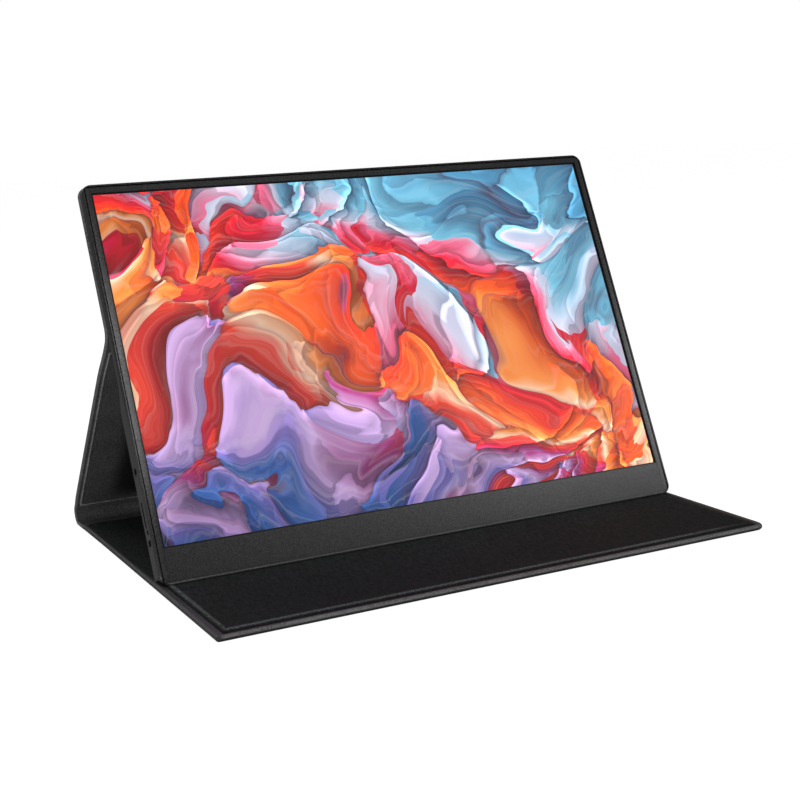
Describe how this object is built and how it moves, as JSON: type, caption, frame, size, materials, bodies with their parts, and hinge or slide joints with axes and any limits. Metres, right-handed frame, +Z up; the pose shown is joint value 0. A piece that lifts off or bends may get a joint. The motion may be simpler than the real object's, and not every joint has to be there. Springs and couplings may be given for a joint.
{
  "type": "portable monitor",
  "caption": "Slim portable display standing on a folding folio cover: flat base, folded leg behind, lit panel, side keys and sockets.",
  "frame": {"origin": "centre of the footprint, on the table surface", "axes": "+X to the viewer's right along the screen's width, +Y away from the viewer, from the front edge of the base to the spine, +Z up"},
  "size_m": [0.3488, 0.2706, 0.2214],
  "materials": {
    "cover_leather": "fine-grain black imitation leather",
    "cover_lining": "black brushed microfibre",
    "cover_board": "grey-brown fibre board",
    "magnet_plating": "nickel plated",
    "adhesive": "thin foam tape",
    "shell": "fine matte dark grey",
    "bezel": "fine matte charcoal",
    "screen": "lit picture panel under a smooth front",
    "film": "milky diffuser",
    "light_guide": "clear acrylic",
    "steel": "plain pressed steel",
    "circuit": "green solder mask",
    "flex": "amber film",
    "chip": "black moulded",
    "aluminium": "plain",
    "dark_plastic": "black moulded",
    "cone": "black moulded surround",
    "key": "black moulded",
    "led": "smoked light pipe, unlit",
    "socket_metal": "plated"
  },
  "bodies": {
    "base": {"base_leather": "cover_leather", "base_board": "cover_board", "base_magnets": "magnet_plating", "base_lining": "cover_lining", "spine_leather": "cover_leather", "spine_lining": "cover_lining"},
    "leg": {"leg_leather": "cover_leather", "leg_board": "cover_board", "leg_lining": "cover_lining", "crease_leather": "cover_leather", "crease_lining": "cover_lining"},
    "rocker": {"rocker_key": "key"},
    "power": {"power_key": "key"},
    "monitor": {"upper_leather": "cover_leather", "upper_board": "cover_board", "upper_lining": "cover_lining", "adhesive_sheet": "adhesive", "rear_shell": "shell", "front_frame": "bezel", "lcd_panel": "screen", "optical_films": "film", "light_guide": "light_guide", "led_bar": "flex", "panel_tray": "steel", "driver_board": "circuit", "driver_flexes": "flex", "main_board": "circuit", "board_screws": "steel", "board_parts": "chip", "heat_spreader": "aluminium", "link_cable": "flex", "key_board": "circuit", "speaker_left": "dark_plastic", "speaker_right": "dark_plastic", "speaker_cones": "cone", "shell_screws": "steel", "headphone_jack": "dark_plastic", "usb_sockets": "socket_metal", "video_socket": "socket_metal", "rocker_pin": "steel", "key_switches": "dark_plastic", "indicator": "led"}
  },
  "joints": [
    {"name": "spine_fold", "type": "hinge", "parent": "base", "child": "leg", "pos_m": [0, 0.13463, 0.00455], "axis": [1, 0, 0], "range_deg": [-123.5, 0], "deforming": ["spine_leather", "spine_lining"]},
    {"name": "monitor_fold", "type": "hinge", "parent": "leg", "child": "monitor", "pos_m": [0, 0.02394, 0.13546], "axis": [1, 0, 0], "range_deg": [0, 58], "deforming": ["crease_leather", "crease_lining"]},
    {"name": "rocker_tilt", "type": "hinge", "parent": "monitor", "child": "rocker", "pos_m": [-0.1704, -0.02053, 0.03931], "axis": [0, 0.91, -0.4147], "range_deg": [-2.5, 2.5], "stiffness_Nm_per_rad": 0.02},
    {"name": "power_press", "type": "slide", "parent": "monitor", "child": "power", "axis": [1, 0, 0], "range_m": [0, 0.0004], "stiffness_N_per_m": 200}
  ],
  "couplings": [
    {"joint": "monitor_fold", "follows": "spine_fold", "ratio": -0.4696}
  ]
}
